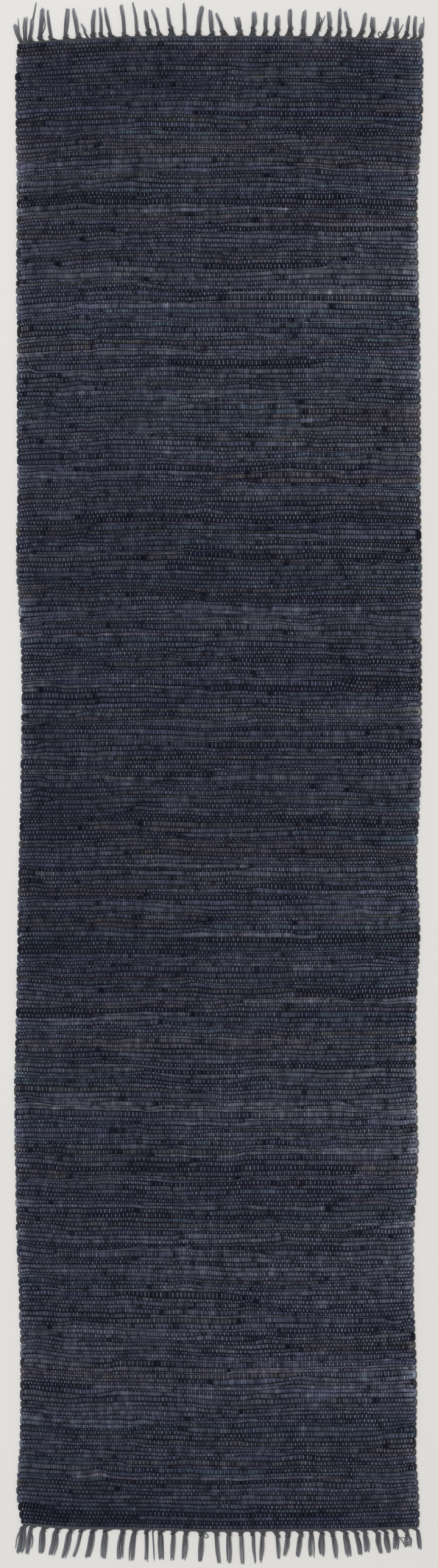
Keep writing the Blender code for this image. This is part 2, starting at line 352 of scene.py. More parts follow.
def uneven(draw, grain, rows=PICKS):
    """Smooth noise over a grid of rows by warp ends."""
    spread, reach_down, reach_over = grain
    white = np.fft.rfft2(draw.standard_normal((rows, ENDS)))
    down = np.fft.fftfreq(rows)[:, None] * reach_down
    over = np.fft.rfftfreq(ENDS)[None, :] * reach_over
    field = np.fft.irfft2(white * np.exp(-2 * math.pi**2 * (down**2 + over**2)), s=(rows, ENDS))
    return spread * (field / field.std())


def mottled(draw, value, grains):
    """The value made uneven by a factor for each grain."""
    for grain in grains:
        value = value * np.exp(uneven(draw, grain))
    return value


def patches(draw, strength, begin, full, grain):
    return strength * smooth_step(begin, full, uneven(draw, grain))


def unit(vectors):
    return vectors / np.maximum(np.linalg.norm(vectors, axis=-1, keepdims=True), 1e-9)


def face_corners(along, around):
    """The four corners of each face of a tube, from the two values along it and the two round it."""
    order = ((0, 0), (0, 1), (1, 1), (1, 0))
    corners = [np.stack(np.broadcast_arrays(along[a], around[b]), axis=-1) for a, b in order]
    return np.stack(corners, axis=-2)


def tube_faces(count, stations, sides, closed=False):
    """The faces along tubes whose points are in the order of tube, station and side."""
    tube = np.arange(count)[:, None, None] * stations * sides
    step = np.arange(stations if closed else stations - 1)[None, :, None]
    around = np.arange(sides)
    along = (tube + step * sides, tube + (step + 1) % stations * sides)
    return face_corners(along, (around, (around + 1) % sides)).sum(axis=-1).reshape(-1, 4)


def end_caps(count, stations, sides):
    """One face over each end of every open tube."""
    first = np.arange(count)[:, None] * stations * sides
    ring = np.arange(sides)[None, :]
    return np.concatenate([first + ring[:, ::-1], first + (stations - 1) * sides + ring])


def make_piece(name, points, faces, material, bake_map, colours, numbers):
    """A smooth mesh. faces has an array of point numbers for each number of corners; bake_map is for every
    corner of a face; colours and numbers are values at the points, by name."""
    mesh = bpy.data.meshes.new(name)
    corners = [face for block in faces for face in block.tolist()]
    mesh.from_pydata((points * MM).tolist(), [], corners, shade_flat=False)
    mesh.uv_layers.new(name="OFBake").uv.foreach_set("vector", bake_map.astype(np.float32).ravel())
    for title, values in colours.items():
        layer = mesh.color_attributes.new(title, "FLOAT_COLOR", "POINT")
        filled = np.concatenate([values, np.ones((len(values), 1))], axis=1)
        layer.data.foreach_set("color", filled.astype(np.float32).ravel())
    for title, values in numbers.items():
        layer = mesh.attributes.new(title, "FLOAT", "POINT")
        layer.data.foreach_set("value", values.astype(np.float32))
    mesh.materials.append(material)
    piece = bpy.data.objects.new(name, mesh)
    bpy.context.scene.collection.objects.link(piece)
    return piece


# The outline, from the frame.


def outline_points():
    """The woven field's points on the floor, which follow its outline."""
    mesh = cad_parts["woven_field"].data
    flat = np.empty(3 * len(mesh.vertices), np.float32)
    mesh.vertices.foreach_get("co", flat)
    points = flat.reshape(-1, 3).astype(float) / MM
    return points[points[:, 2] < MID_HEIGHT]


outline = outline_points()


def field_edge(axis, side, places):
    """Where the field ends on that side (-1 or 1) of that axis, at places along the other axis."""
    out = outline[:, axis] * side
    edge = outline[out > out.max() - EDGE_DEPTH]
    edge = edge[np.argsort(edge[:, 1 - axis])]
    return np.interp(places, edge[:, 1 - axis], edge[:, axis])


# The weave's layout.


def dark_folds(draw, place, count):
    """How deep the strips are folded in, from 0 to 1, at places along the weft."""
    spots = np.sort(draw.uniform(0, place.max(), count))
    depth = draw.uniform(*FOLD_DEPTH, count)
    half = draw.uniform(*FOLD_REACH, count)
    following = np.clip(np.searchsorted(spots, place), 1, count - 1)
    return np.maximum(*[depth[k] * hump(place - spots[k], half[k]) for k in (following - 1, following)])


class Rags:
    """The rag strips, one after another along the weft, at each crossing."""

    def __init__(self, draw, row_length):
        count = int(3 * PICKS * row_length / RAG_LENGTH)  # more than enough of them
        lengths = np.clip(draw.lognormal(math.log(RAG_LENGTH), LENGTH_SPREAD, count), *RAG_LIMITS)
        starts = np.cumsum(lengths) - lengths
        over = (np.arange(ENDS) + 0.5) * row_length / ENDS
        place = np.empty((PICKS, ENDS))
        place[0::2] = over
        place[1::2] = over[::-1]
        place += np.arange(PICKS)[:, None] * row_length
        self.number = np.searchsorted(starts, place, side="right") - 1
        colours, shares, widths = map(np.array, zip(*RAGS))
        kind = draw.choice(len(RAGS), count, p=shares)
        knotted = (draw.random(count) < KNOT_SHARE) * draw.uniform(*KNOT_STRENGTH, count)
        knot_reach = draw.uniform(*KNOT_REACH, count)
        tail_length = draw.uniform(*TAIL_LENGTHS, count) * (draw.random(count) < TAIL_SHARE) + 1e-3
        since = place - starts[self.number]
        until = (starts + lengths)[self.number] - place
        joins = ((self.number, since), (self.number + 1, until))
        self.knot = np.maximum(*[knotted[k] * hump(away, knot_reach[k]) for k, away in joins])
        self.tail = np.clip(1 - since / tail_length[self.number], 0, 1) ** TAIL_POWER
        thin = np.maximum(*[(knotted[k] == 0) * hump(away, TAPER) for k, away in joins])
        strip_width = widths[kind] * draw.lognormal(0, WIDTH_SPREAD, count)
        self.width = strip_width[self.number] * (1 + KNOT_WIDER * self.knot)
        self.width *= (1 - TAIL_THINNER * self.tail) * (1 - TAPER_THINNER * thin)
        self.colour = colours[kind]
        crumples = dark_folds(draw, place, CRUMPLES)
        self.folds = [np.maximum(crumples, dark_folds(draw, place, FOLDS)) for _ in range(2)]


def lay_rows(draw, top, bottom, width):
    """The lines between the rows: their places along the rug, at each warp end."""
    slack = mottled(draw, width, ROW_GRAINS)
    slack = np.minimum(slack / slack.mean(), THICKEST_ROW)
    reach = len(ROW_KERNEL) // 2
    padded = np.pad(slack / slack.mean(), ((0, 0), (reach, reach)), mode="edge")
    slack = sum(part * padded[:, k : k + ENDS] for k, part in enumerate(ROW_KERNEL))
    pitch = (top - bottom).mean() / PICKS
    drift = np.zeros((PICKS + 1, ENDS))
    for row in range(PICKS):
        drift[row + 1] = KEEP_DRIFT * drift[row] + (slack[row] - 1) * pitch
    drift += uneven(draw, BOW_GRAIN, PICKS + 1)
    from_end = np.minimum(np.arange(PICKS + 1), np.arange(PICKS, -1, -1))
    drift *= smooth_step(0, END_FADE, from_end)[:, None]
    share = np.arange(PICKS + 1)[:, None] / PICKS
    lines = top + (bottom - top) * share - drift
    heights = np.maximum(lines[:-1] - lines[1:], THINNEST_ROW)
    heights *= (top - bottom) / heights.sum(axis=0)
    return top - np.concatenate([np.zeros((1, ENDS)), np.cumsum(heights, axis=0)])


def lay_ends(draw, left_edge, right_edge):
    """Where each warp end lies across the rug in each row."""
    left = left_edge[:, None] + TURN_REACH
    right = right_edge[:, None] - TURN_REACH
    width = (right - left).mean()
    fine = np.linspace(0, width, SPACING_STEPS)
    inside = np.minimum(fine, width - fine)
    spacing = 1 - sum(share * np.exp(-inside / reach) for share, reach in DRAWN_IN)
    passed = np.cumsum(1 / spacing)
    places = np.interp(np.linspace(passed[0], passed[-1], ENDS), passed, fine)
    return left + (right - left) * places / width + uneven(draw, WANDER_GRAIN)


def open_slits(draw):
    """How far each line between two rows gapes at each warp end, from 0 to 1."""
    gape = np.zeros((PICKS + 1, ENDS))
    columns = np.arange(ENDS)
    for _ in range(SLITS):
        row = draw.integers(SLIT_MARGIN, PICKS - SLIT_MARGIN)
        middle = draw.uniform(0, ENDS)
        half = SLIT_ENDS[0] + (SLIT_ENDS[1] - SLIT_ENDS[0]) * draw.random() ** 3
        lens = np.clip(1 - ((columns - middle) / half) ** 2, 0, 1)
        gape[row] = np.maximum(gape[row], lens * draw.uniform(*SLIT_WIDTH))
    return gape


class Weave:
    """What the pieces of the woven field share, on a grid of picks by warp ends."""

    def __init__(self, seed):
        draw = np.random.default_rng(seed)
        left, right = outline[:, 0].min(), outline[:, 0].max()
        across = np.linspace(left, right, ENDS)
        top = field_edge(1, 1, across) + WEFT_ON[1]
        bottom = field_edge(1, -1, across) - WEFT_ON[-1]
        self.rags = Rags(draw, right - left - 2 * TURN_REACH)
        self.lines = lay_rows(draw, top, bottom, self.rags.width)
        self.middles = (self.lines[:-1] + self.lines[1:]) / 2
        self.heights = self.lines[:-1] - self.lines[1:]
        self.full = np.clip(self.heights / self.heights.mean(), *FULLNESS[:2]) ** FULLNESS[2]
        self.selvedges = [field_edge(0, side, self.middles.mean(axis=1)) for side in (-1, 1)]
        self.across = lay_ends(draw, *self.selvedges)
        self.gape = open_slits(draw)
        self.crossing = np.arange(PICKS)[:, None] + np.arange(ENDS)
        self.over = self.crossing % 2 == 0  # the warp lies on top here
        self.turn_bulge = draw.uniform(*TURN_UNEVEN, PICKS)
        along = read_off(TONE_ALONG, np.linspace(0, 1, PICKS))
        from_edge = np.minimum(self.across - self.across[:, :1], self.across[:, -1:] - self.across)
        paler = 1 + EDGE_PALER[0] * np.exp(-from_edge / EDGE_PALER[1])
        self.wear = along[:, None] * np.linspace(*TONE_ACROSS, ENDS) * paler
        self.rag_colour = self.paint_rags(draw)
        self.warp_colour = self.paint_warp(draw)
        dark = SEAM_SHADE + uneven(draw, SEAM_SHADE_GRAIN, PICKS + 1)
        self.seam_shade = np.clip(np.maximum(dark, self.gape), *SEAM_SHADE_LIMITS)  # painted shade between two rows, darker where a slit gapes
        self.point_tone = np.ones((PICKS, ENDS, 4, 1))
        for side, fold in zip((0, 2), self.rags.folds):
            self.point_tone[:, :, side, 0] = mottled(draw, 1 - FOLD_SHADE * fold, [SIDE_GRAIN])
        self.point_tone[:, :, 1, 0] = 1 - CREST_SHADE * np.maximum(*self.rags.folds)
        self.float_width = FLOAT_WIDTH * (1 + uneven(draw, FLOAT_GRAIN))
        self.crest_shift = uneven(draw, CREST_GRAIN) * self.heights

    def paint_rags(self, draw):
        """Each strip has its own shade, with paler, darker and warmer places, and is mottled."""
        rags = self.rags
        count = len(rags.colour)
        base = rags.colour * draw.lognormal(*RAG_TONES, count)[:, None]
        base = base * (1 + RAG_TINTS * draw.standard_normal((count, 3)))
        tone = (1 + patches(draw, *PALE_FACES)) * (1 - patches(draw, *DARK_FACES))
        # Painted shade where a warp float presses the rag down.
        tone = tone * np.where(self.over, UNDER_FLOAT_SHADE, 1.0)
        tone = mottled(draw, tone, RAG_GRAINS)
        # Knots go down to the deep colour: partly their own dark rag, partly painted shade.
        tone = tone * (1 - rags.knot) * (1 - TAIL_DARKER * rags.tail)
        tone = tone * (1 - SLIT_SHADE * self.gape[:-1]) * self.wear
        tint = 1 + patches(draw, *WARM_PLACES)[:, :, None] * WARMER
        tint = tint + np.linspace(0, 1, PICKS)[:, None, None] * BLUER
        colour = DEEP_COLOUR + (base[rags.number] * tint - DEEP_COLOUR) * tone[:, :, None]
        return colour * (1 - KNOT_DARKER[0] * rags.knot ** KNOT_DARKER[1])[:, :, None]

    def paint_warp(self, draw):
        """Warp ends differ a little, each float too, and they take up some of the weft's colour."""
        tone = mottled(draw, draw.lognormal(0, WARP_SPREAD, ENDS)[None, :], WARP_GRAINS)
        bright = draw.random((PICKS, ENDS)) < BRIGHT_FLOATS[0]
        tone = np.clip(tone * np.where(bright, BRIGHT_FLOATS[1], 1.0), *WARP_LIMITS)
        hidden = HIDDEN[0] * self.rags.knot + HIDDEN[1] * sum(self.rags.folds)
        tone = tone * np.clip(1 - hidden, LEAST_SHOWN, 1) * self.wear
        return WARP_SHOWS * WARP_COLOUR * tone[:, :, None] + RAG_SHOWS * self.rag_colour

    def weft_rings(self):
        """Four points round the weft at each crossing: upper side, crest, lower side and keel."""
        crest = np.where(self.over, PRESSED_CREST, FREE_CREST) * self.full
        keel = np.where(self.over, FREE_CREST, PRESSED_CREST) * self.full
        wider = np.where(self.over, -BULGE, BULGE) * self.full + PRESS_IN
        upper, lower = self.lines[:-1] + wider, self.lines[1:] - wider
        along = [upper, self.middles + self.crest_shift, lower, self.middles]
        valley = VALLEY_FILL - SLIT_DEPTH * self.gape
        height = [valley[:-1], crest + KNOT_HEIGHT * self.rags.knot, valley[1:], -keel]
        across = np.repeat(self.across[:, :, None], 4, axis=2)
        across[[0, -1], 0] -= WEFT_END
        return np.stack([across, np.stack(along, axis=2), MID_HEIGHT + np.stack(height, axis=2)], axis=3)

    def turn_rings(self):
        """The same four points where each pick turns into the next round the outermost warp end."""
        picks = np.arange(PICKS - 1)[:, None, None]
        right = picks % 2 == 0
        side = np.where(right, 1.0, -1.0)
        last = np.where(right, ENDS - 1, 0)
        warp_end = (self.across[picks, last] + self.across[picks + 1, last]) / 2
        pivot = warp_end + TURN_PIVOT * side
        edge = np.where(right, *[edge[:-1, None, None] for edge in self.selvedges[::-1]])
        reach = (edge - pivot) * side + self.turn_bulge[:-1, None, None]
        angle = np.radians(TURN_ANGLES)[:, None]
        rise = np.where(np.cos(angle) > 0, self.heights[picks, last], self.heights[picks + 1, last])
        out, up, height = np.array(TURN_POINTS).T
        across = pivot + side * out * reach * np.sin(angle) ** TURN_SQUARE
        along = self.lines[picks + 1, last] + up * rise * np.cos(angle)
        rings = np.stack(np.broadcast_arrays(across, along, MID_HEIGHT + height), axis=3)
        rings[1::2] = rings[1::2][:, :, SIDES_SWAPPED]
        return rings

    def weft_seam_shades(self):
        """How dark the painted shade in the lines beside the weft is, at the same four points."""
        middle = (self.seam_shade[:-1] + self.seam_shade[1:]) / 2
        return np.stack([self.seam_shade[:-1], middle, self.seam_shade[1:], middle], axis=2)[..., None]


# The rag wefts.


def in_laying_order(rows):
    """Turns every other row round, as the weft runs back and forth."""
    ordered = rows.copy()
    ordered[1::2] = rows[1::2, ::-1][:, :, SIDES_SWAPPED]
    return ordered


def band_rows(band):
    """The first row of a band and the one past its last. Bands start on even rows."""
    step = PICKS // BANDS // 2 * 2
    return band * step, PICKS if band == BANDS - 1 else (band + 1) * step


def strip_map(count, in_row, share, margin, caps):
    """The map of wefts: each row has a lane, in which its steps go from each share to the next."""
    lane, step = np.divmod(np.arange(count)[:, None], in_row)
    wide = 1 - 2 * margin
    around = [(lane + margin + wide * (np.arange(4) + k) / 4) / (lane.max() + 1) for k in (0, 1)]
    places = face_corners((share[step], share[step + 1]), around).reshape(-1, 2)
    cap_place = CAP_SIZE * np.array([[0, 0], [1, 0], [1, 1], [0, 1]])
    return np.concatenate([places, np.tile(cap_place, (caps, 1))])


def rag_piece(name, material, rings, count, bake_map, colour, phase, seam_shade):
    """A piece of one or more wefts with four points round them at each station."""
    stations = len(rings) // count
    return make_piece(
        name,
        rings.reshape(-1, 3),
        [tube_faces(count, stations, 4), end_caps(count, stations, 4)],
        material,
        bake_map,
        {"rag_colour": colour},
        {"crown": np.tile([0.0, 1.0, 0.0, -1.0], len(rings)), "warp_phase": phase, "seam_shade": seam_shade},
    )


def weft_band(weave, band, material):
    """The rows of a band as one weft, with a turn after each row."""
    first, past = band_rows(band)
    picks = past - first
    turns = weave.turn_rings()[first:past]
    missing = picks - len(turns)  # the last row of all has no turn
    turns = np.concatenate([turns, np.repeat(turns[-1:], missing, axis=0)])
    rings = in_laying_order(weave.weft_rings()[first:past])
    colour = in_laying_order((weave.rag_colour[:, :, None] * weave.point_tone)[first:past])
    seam_shade = in_laying_order(weave.weft_seam_shades()[first:past])
    phase = in_laying_order(np.repeat(weave.crossing[first:past, :, None, None], 4, axis=2))
    ones = np.ones((picks, TURN_STEPS, 4, 1))
    rows_and_turns = [
        (rings, turns),
        (colour, np.repeat(colour[:, -1:] * TURN_TINT, TURN_STEPS, axis=1)),
        (phase, 0 * ones),
        (seam_shade, TURN_SEAM_SHADE * ones),
    ]
    stations = ENDS + TURN_STEPS
    used = picks * stations - missing * TURN_STEPS
    rings, colour, phase, seam_shade = [
        np.concatenate(pair, axis=1).reshape(picks * stations, 4, -1)[:used] for pair in rows_and_turns
    ]
    turn_share = ROW_TO + (1 - ROW_TO) * np.arange(1, TURN_STEPS + 2) / (TURN_STEPS + 1)
    share = np.concatenate([np.linspace(1 - ROW_TO, ROW_TO, ENDS), turn_share])
    bake_map = strip_map(used - 1, stations, share, WEFT_MARGIN, 2)
    name = f"weft_band_{band + 1}"
    return rag_piece(name, material, rings, 1, bake_map, colour.reshape(-1, 3), phase.ravel(), seam_shade.ravel())


def heading(weave, end, name, material):
    """The fine wefts between the field and the tassels."""
    across = weave.across[0 if end > 0 else -1]
    across = np.concatenate([[across[0] - WEFT_END], across, [across[-1] + WEFT_END]])
    stations = len(across)
    edge = field_edge(1, end, across) + end * WEFT_ON[end]
    deep = (HEADER - WEFT_ON[end]) / HEADING_PICKS
    station = np.arange(stations)
    full = 1 - HEADING_TAPER[0] * np.exp(-np.minimum(station, station[::-1]) / HEADING_TAPER[1])
    pick = np.arange(HEADING_PICKS)[:, None]
    bend = HEADING_BEND * np.where((station + pick) % 2 == 0, 1, -1)
    near = edge + end * (pick * deep * full - HEADING_OVERLAP)
    far = edge + end * (pick + 1) * deep * full
    upper, lower = (far, near) if end > 0 else (near, far)
    middle = (upper + lower) / 2
    side = np.zeros(bend.shape)
    crest = (HEADING_CREST + bend) * full
    keel = HEADING_KEEL[0] + (HEADING_KEEL[1] - bend) * full
    along = np.stack([upper, middle, lower, middle], axis=2)
    height = HEADING_SIDE + np.stack([side, crest, side, -keel], axis=2)
    rings = np.stack(np.broadcast_arrays(across[None, :, None], along, height), axis=3)
    share = np.linspace(1 - HEADING_TO, HEADING_TO, stations)
    steps = stations - 1
    bake_map = strip_map(HEADING_PICKS * steps, steps, share, HEADING_MARGIN, 2 * HEADING_PICKS)
    ones = np.ones(rings.size // 3)
    colour, phase, seam_shade = ones[:, None] * HEADING_COLOUR[end], 0 * ones, HEADING_SEAM_SHADE * ones
    return rag_piece(name, material, rings.reshape(-1, 4, 3), HEADING_PICKS, bake_map, colour, phase, seam_shade)


# The warp where it shows on top.


def warp_band(weave, band, material):
    """A grain-shaped hump of yarn for each of the band's crossings with the warp on top."""
    first, past = band_rows(band)
    row, end = np.nonzero(weave.over[first:past])
    row, end = row[:, None] + first, end[:, None]
    here = weave.across[row, end]
    above = (here + weave.across[np.maximum(row - 1, 0), end]) / 2
    below = (here + weave.across[np.minimum(row + 1, PICKS - 1), end]) / 2
    up, aside, lift = np.array(FLOAT_SHAPE).T
    along = up * (FLOAT_FILL * weave.heights[row, end] / 2)
    around = aside * (weave.float_width[row, end] / 2)
    path = here + np.maximum(up, 0) * (above - here) + np.maximum(-up, 0) * (below - here)
    root = MID_HEIGHT + FLOAT_ROOT
    crest = MID_HEIGHT + PRESSED_CREST * weave.full[row, end] + FLOAT_RISE
    height = root + lift * (crest - root)
    points = np.stack([path + around, weave.middles[row, end] + along, height], axis=2).reshape(-1, 3)
    faces = (np.arange(len(row))[:, None, None] * len(FLOAT_SHAPE) + FLOAT_FACES).reshape(-1, 3)
    low, high = points[:, :2].min(axis=0), points[:, :2].max(axis=0)
    places = (points[:, :2] - low) / (high - low)
    return make_piece(
        f"warp_band_{band + 1}",
        points,
        [faces],
        material,
        places[faces.ravel()],
        {"yarn_colour": np.repeat(weave.warp_colour[row[:, 0], end[:, 0]], len(FLOAT_SHAPE), axis=0)},
        {"yarn_along": along.ravel(), "yarn_around": around.ravel()},
    )


# The fringes.


def curve(knots, steps):
    """Points along smooth curves through a few knots each."""
    count = knots.shape[1]
    at = np.linspace(0, count - 1, steps)
    left = np.minimum(at.astype(int), count - 2)
    t = (at - left)[None, :, None]
    slopes = np.gradient(knots, axis=1)
    a, b = knots[:, left], knots[:, left + 1]
    da, db = slopes[:, left], slopes[:, left + 1]
    places = a * (1 + 2 * t) * (1 - t) ** 2 + b * (3 - 2 * t) * t**2
    return places + da * t * (1 - t) ** 2 + db * (t - 1) * t**2


def lane_map(count, steps, sides, columns, low, high):
    """The map of tubes' faces, with a lane for each tube."""
    rows = math.ceil(count / columns)
    row, column = np.divmod(np.arange(count)[:, None, None], columns)
    aside, ahead = TUBE_MARGINS
    around, along = [], []
    for k in (0, 1):
        around.append((column + aside + (1 - 2 * aside) * (np.arange(sides) + k) / sides) / columns)
        past = row + ahead + (1 - 2 * ahead) * (np.arange(steps)[:, None] + k) / steps
        along.append(low + (high - low) * past / rows)
    return face_corners(along, around)[..., ::-1].reshape(-1, 2)


class Yarns:
    """Round tubes of yarn that are gathered for one mesh."""

    def __init__(self):
        self.points, self.tones, self.along, self.around = [], [], [], []
        self.faces, self.places = {}, {}  # by the faces' number of corners

    def add_faces(self, faces, places):
        corners = faces.shape[1]
        self.faces.setdefault(corners, []).append(faces + sum(map(len, self.points)))
        self.places.setdefault(corners, []).append(places)

    def spin(self, paths, radii, tone, sides, lanes, facing=UP, closed=False):
        """Adds tubes along many paths. Their points are counted from the side turned away from facing."""
        count, stations = radii.shape
        if closed:
            ahead = unit(np.roll(paths, -1, axis=1) - np.roll(paths, 1, axis=1))
        else:
            ahead = unit(np.gradient(paths, axis=1))
        aside = unit(np.cross(ahead, np.broadcast_to(facing, paths.shape)))
        above = np.cross(aside, ahead)
        turn = 2 * math.pi * np.arange(sides) / sides
        from_back = (turn - math.pi / 2)[:, None]
        ring = np.cos(from_back) * aside[:, :, None] + np.sin(from_back) * above[:, :, None]
        steps = stations if closed else stations - 1
        self.add_faces(tube_faces(count, stations, sides, closed), lane_map(count, steps, sides, *lanes))
        if not closed:
            caps = end_caps(count, stations, sides)
            spot = CAP_SIZE / 2 + CAP_SIZE / 4 * np.stack([np.cos(turn), np.sin(turn)], axis=1)
            self.add_faces(caps, np.tile(spot, (len(caps), 1)))
        self.points.append((paths[:, :, None] + radii[:, :, None, None] * ring).reshape(-1, 3))
        self.tones.append(np.repeat(tone.ravel(), sides))
        run = np.linalg.norm(np.diff(paths, axis=1, prepend=paths[:, :1]), axis=2).cumsum(axis=1)
        self.along.append(np.repeat(run.ravel(), sides))
        self.around.append((radii[:, :, None] * turn).ravel())

    def piece(self, name, material):
        corners = sorted(self.faces)
        return make_piece(
            name,
            np.concatenate(self.points),
            [np.concatenate(self.faces[number]) for number in corners],
            material,
            np.concatenate([places for number in corners for places in self.places[number]]),
            {"yarn_colour": np.concatenate(self.tones)[:, None] * FRINGE_COLOUR},
            {"yarn_along": np.concatenate(self.along), "yarn_around": np.concatenate(self.around)},
        )


class Fringe:
    """One end's tassels: every warp end runs from under the heading into a knot and out to its tip."""

    def __init__(self, weave, end, rows, seed):
        self.draw = np.random.default_rng(seed)
        self.end = end
        self.tassels = [Tassel(*row) for row in rows]
        self.starts = weave.across[0 if end > 0 else -1]
        roots = np.array([tassel.root for tassel in self.tassels]) + PHOTO_ZERO
        away = np.abs(self.starts[:, None] * OUTWARD - roots[None, :])
        away = away + [LONE_AWAY * (tassel.width <= LONE) for tassel in self.tassels]
        self.joins = away.argmin(axis=1)  # the tassel that each warp end belongs to

    def place(self, across, past_edge, height):
        """Points given by how far past the field's end they lie."""
        along = field_edge(1, self.end, across) + self.end * past_edge
        return np.stack(np.broadcast_arrays(across, along, height), axis=-1)

    def strands(self):
        """The paths of the strands, one for each warp end."""
        knots = [
            self.tassel_strands(tassel, self.starts[self.joins == k])
            for k, tassel in enumerate(self.tassels)
            if k in self.joins
        ]
        return curve(np.concatenate(knots), STRAND_STEPS)

    def tassel_strands(self, tassel, starts):
        """A few points on the path of each of a tassel's strands."""
        draw = self.draw
        if tassel.width >= DOUBLED and not tassel.knot:
            starts = np.repeat(starts, 2) + np.tile([-DOUBLE_APART, DOUBLE_APART], len(starts))
        count = len(starts)
        spread = (np.arange(count) - (count - 1) / 2) / max(count - 1, 1)
        second = np.arange(count) % 2
        root = tassel.root + PHOTO_ZERO
        tip = tassel.tip + PHOTO_ZERO
        stand = tassel.stand if tassel.knot else UNTIED_STAND
        squeeze = KNOT_SQUEEZE * tassel.knot if tassel.knot else tassel.width * UNTIED_SQUEEZE
        neck_width = max(squeeze, NECK_SHARE[self.end] * tassel.width)
        width = max(tassel.width - TASSEL_LESS, TASSEL_LEAST)
        layer = LAYERS[0] + LAYERS[1] * second
        reach = tassel.reach * (1 - REACH_UNEVEN[0] * draw.random(count) ** REACH_UNEVEN[1])
        neck = root + (tip - root) * (stand + NECK_PAST) / tassel.reach
        middle = root + (tip - root) * STRAND_MIDDLE[0] + draw.uniform(-BENT, BENT)
        # The strands part in one place, so that the floor shows between them.
        parted = np.sign(spread - draw.uniform(-PARTED_AT, PARTED_AT))
        parted = parted * draw.uniform(0, PARTING[self.end]) / 2
        at_tip = draw.uniform(0.0, GAP_LEFT) * parted
        bowed = draw.uniform(-STRAND_BENT, STRAND_BENT, count)
        strayed = draw.uniform(-TIP_BENT, TIP_BENT, count)
        middle = middle + spread * (width + neck_width) / 2 + parted + bowed
        weft_on = WEFT_ON[self.end]
        heading_middle = (HEADER + weft_on) / 2
        in_knot = LAYERS_IN_KNOT[0] + LAYERS_IN_KNOT[1] * second
        knots = [
            (starts, weft_on - STRAND_ROOT, STRAND_HEIGHTS[0]),
            (starts + (root - starts) * GATHERED[0], heading_middle, STRAND_HEIGHTS[1]),
            (starts + (root - starts) * GATHERED[1], HEADER + stand * BEFORE_KNOT, STRAND_HEIGHTS[2]),
            (root + spread * squeeze, HEADER + stand, in_knot),
            (neck + spread * neck_width, HEADER + stand + NECK_PAST, layer),
            (middle, HEADER + reach * STRAND_MIDDLE[1], layer),
            (tip + spread * width + at_tip + strayed, HEADER + reach, LAYERS[0]),
        ]
        return np.stack([self.place(*knot) for knot in knots], axis=1)

    def strays(self):
        """The loose strands' paths."""
        paths = []
        for points in STRAYS[self.end]:
            across, past = np.array(points).T
            height = np.linspace(*STRAY_HEIGHTS, len(points))
            knots = self.place(across + PHOTO_ZERO, HEADER + past, height)
            paths.append(curve(knots[None], STRAY_STEPS)[0])
        return np.array(paths)

    def knot_loops(self):
        """The overhand knots: two fat turns of the bundle round each root, left- or right-handed."""
        paths, away, radii = [], [], []
        turn = 2 * math.pi * np.arange(LOOP_STEPS)[:, None] / LOOP_STEPS
        for tassel in self.tassels:
            if not tassel.knot:
                continue
            lean = (tassel.tip - tassel.root) / tassel.reach
            root = tassel.root + PHOTO_ZERO + lean * tassel.stand
            centre = self.place(np.array(root), HEADER + tassel.stand, KNOT_MIDDLE)
            forward = unit(np.array([lean, self.end, 0.0]))
            sideways = np.cross(forward, UP)
            hand = self.draw.choice([-1.0, 1.0])
            for along, aside, tilt, deep, radius in KNOT_TURNS:
                size = KNOT_SIZE[self.end] * tassel.knot / KNOT_WIDTH * self.draw.uniform(*KNOT_SIZES)
                radius = radius * size
                tilt = hand * tilt * size * self.draw.uniform(*KNOT_TILTS)
                half_width = KNOT_WIDTH / 2 * size - radius
                out = half_width * np.cos(turn) * sideways + deep * np.sin(turn) * UP
                shear = (along * size + tilt * np.cos(turn)) * forward
                paths.append(centre + out + shear + hand * (KNOT_ASIDE[self.end] + aside) * sideways)
                away.append(unit(out))
                radii.append(np.full(LOOP_STEPS, radius))
        return np.array(paths), np.array(away), np.array(radii)

    def frays(self, tips, before):
        """Fine fibres spreading from each strand's tip."""
        forward = unit(tips - before)
        base = tips - forward * FRAY_BACK
        middle, back = FRAY_BEND
        paths = []
        for _ in range(FRAY_STRANDS):
            turn = self.draw.uniform(-FRAY_TURN, FRAY_TURN, len(tips))
            across = forward[:, 0] * np.cos(turn) - forward[:, 1] * np.sin(turn)
            along = forward[:, 0] * np.sin(turn) + forward[:, 1] * np.cos(turn)
            way = np.stack([across, along, np.zeros(len(tips))], axis=1)
            length = self.draw.uniform(*FRAY_LENGTHS, len(tips))[:, None]
            end = base + (way + forward * back) * length
            paths.append(np.stack([base, base + way * length * middle, end], axis=1))
        return np.concatenate(paths)

    def build(self, name, material):
        draw = self.draw
        yarns = Yarns()
        tone_table = STRAND_TONES[self.end]
        strands = self.strands()
        share = np.linspace(0, 1, STRAND_STEPS)
        radii = draw.uniform(*STRAND_SIZES, (len(strands), 1)) * read_off(STRAND_RADII, share)
